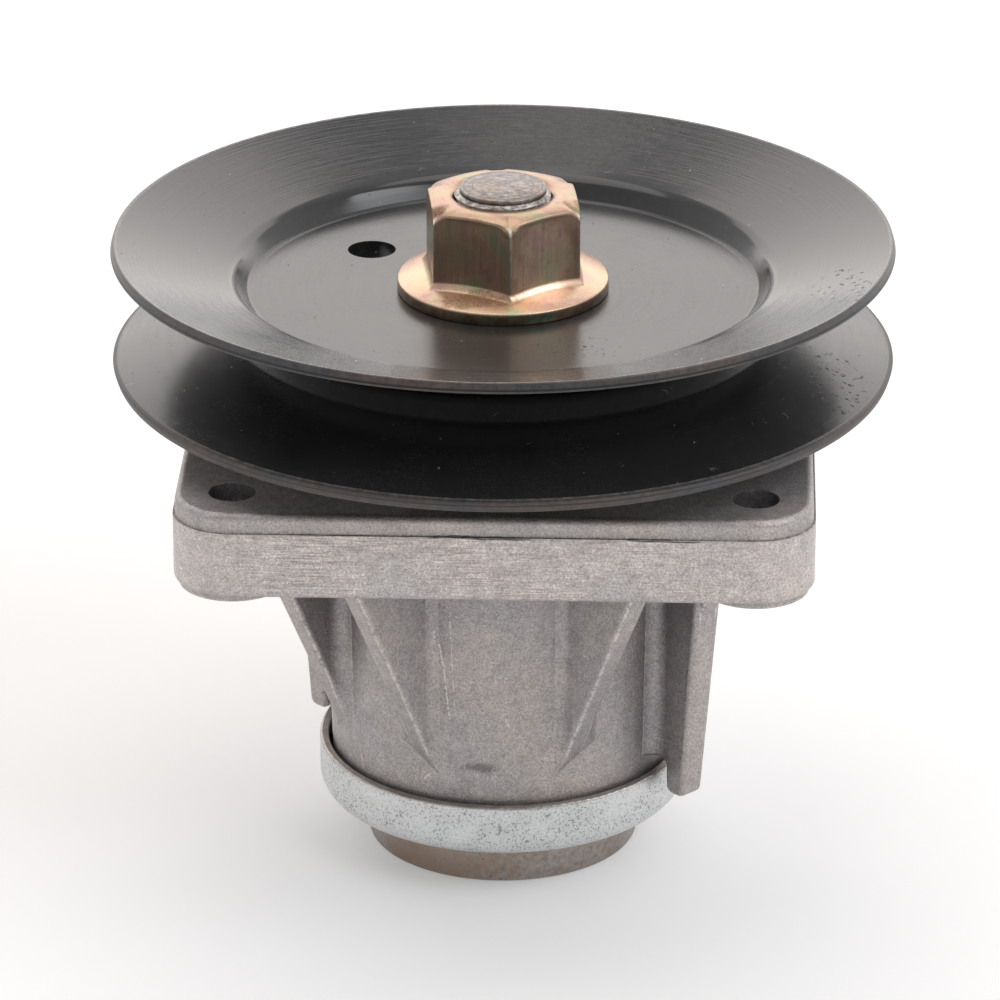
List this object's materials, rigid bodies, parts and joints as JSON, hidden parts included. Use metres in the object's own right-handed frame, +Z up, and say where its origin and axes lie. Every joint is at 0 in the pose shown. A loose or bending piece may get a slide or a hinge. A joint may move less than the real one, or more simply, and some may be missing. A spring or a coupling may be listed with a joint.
{
  "type": "mower deck spindle",
  "caption": "Mower deck spindle: cast aluminium flanged housing with ball bearings, a shaft with a blade hub, a dust cup, a pressed belt pulley and a flange nut.",
  "frame": {"origin": "on the shaft's axis at the blade face, the hub's flat bottom", "axes": "+Z up along the shaft towards the pulley and nut; X and Y along the edges of the square flange"},
  "size_m": [0.127, 0.127, 0.1142],
  "materials": {
    "cast_aluminium": "as cast, sanded sides",
    "black_paint": "satin black",
    "gold_zinc": "gold zinc plate",
    "zinc_plate": "dull zinc plate",
    "shaft_steel": "turned, oiled",
    "tube_steel": "cut tube",
    "bearing_steel": "ground",
    "cage_steel": "pressed",
    "seal_rubber": "moulded"
  },
  "bodies": {
    "housing": {"spindle_housing": "cast_aluminium", "lower_bearing_outer_ring": "bearing_steel", "lower_bearing_seal_lower": "seal_rubber", "lower_bearing_seal_upper": "seal_rubber", "upper_bearing_outer_ring": "bearing_steel", "upper_bearing_seal_lower": "seal_rubber", "upper_bearing_seal_upper": "seal_rubber"},
    "spindle": {"spindle_shaft": "shaft_steel", "dust_cup": "zinc_plate", "bearing_spacer": "tube_steel", "pulley_sleeve": "tube_steel", "pulley_lower_half": "black_paint", "pulley_upper_half": "black_paint", "flange_nut": "gold_zinc", "lower_bearing_inner_ring": "bearing_steel", "upper_bearing_inner_ring": "bearing_steel"},
    "lower_ball_train": {"lower_bearing_balls": "bearing_steel", "lower_bearing_cage_upper": "cage_steel", "lower_bearing_cage_lower": "cage_steel", "lower_bearing_cage_rivets": "cage_steel"},
    "upper_ball_train": {"upper_bearing_balls": "bearing_steel", "upper_bearing_cage_upper": "cage_steel", "upper_bearing_cage_lower": "cage_steel", "upper_bearing_cage_rivets": "cage_steel"}
  },
  "joints": [
    {"name": "spindle_spin", "type": "hinge", "parent": "housing", "child": "spindle", "pos_m": [0, 0, 0.05], "axis": [0, 0, 1], "continuous": true},
    {"name": "lower_cage_spin", "type": "hinge", "parent": "housing", "child": "lower_ball_train", "pos_m": [0, 0, 0.0185], "axis": [0, 0, 1], "continuous": true},
    {"name": "upper_cage_spin", "type": "hinge", "parent": "housing", "child": "upper_ball_train", "pos_m": [0, 0, 0.0693], "axis": [0, 0, 1], "continuous": true}
  ],
  "couplings": [
    {"joint": "lower_cage_spin", "follows": "spindle_spin", "ratio": 0.38153},
    {"joint": "upper_cage_spin", "follows": "spindle_spin", "ratio": 0.38153}
  ]
}
